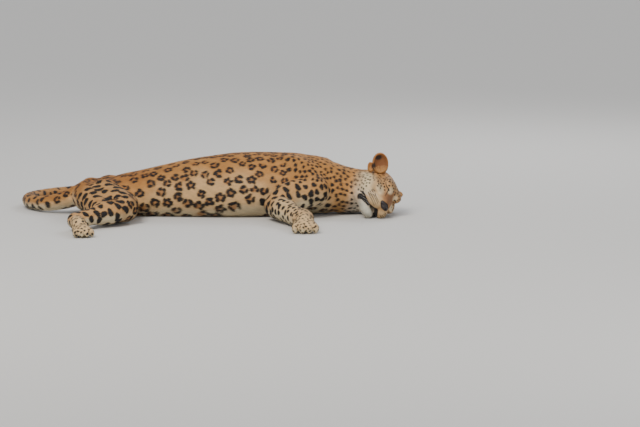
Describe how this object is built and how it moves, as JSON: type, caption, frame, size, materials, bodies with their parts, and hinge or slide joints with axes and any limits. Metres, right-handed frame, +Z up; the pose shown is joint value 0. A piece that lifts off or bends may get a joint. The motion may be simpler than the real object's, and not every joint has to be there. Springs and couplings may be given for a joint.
{
  "type": "sleeping leopard",
  "caption": "Life-size sleeping leopard, lying on its belly with its head turned onto one cheek and its limbs sprawled.",
  "frame": {"origin": "on the floor, under the middle of the body, on the flat of the belly", "axes": "+X towards the head along the spine, +Y to the animal's left, +Z up"},
  "size_m": [1.4077, 1.1366, 0.2271],
  "materials": {
    "coat": "short spotted fur",
    "pale_coat": "short pale fur with small spots",
    "ear": "thin fur",
    "lids": "furred lids, closed",
    "nose": "fine-grained, slightly moist"
  },
  "bodies": {
    "root": {"chest": "coat", "belly": "coat", "hips": "coat", "foreleg_right_upper": "coat", "foreleg_right_lower": "coat", "hindleg_right_upper": "coat", "hindleg_right_lower": "coat", "foreleg_left_upper": "coat", "foreleg_left_lower": "coat", "hindleg_left_upper": "coat", "hindleg_left_lower": "coat", "tail_root": "coat", "tail_middle": "coat", "tail_tip": "coat", "neck": "coat", "head": "coat", "muzzle": "coat", "forepaw_right": "pale_coat", "hindpaw_right": "pale_coat", "forepaw_left": "pale_coat", "hindpaw_left": "pale_coat", "ear_right": "ear", "ear_left": "ear", "eye_right": "lids", "eye_left": "lids", "nose": "nose"}
  },
  "joints": []
}
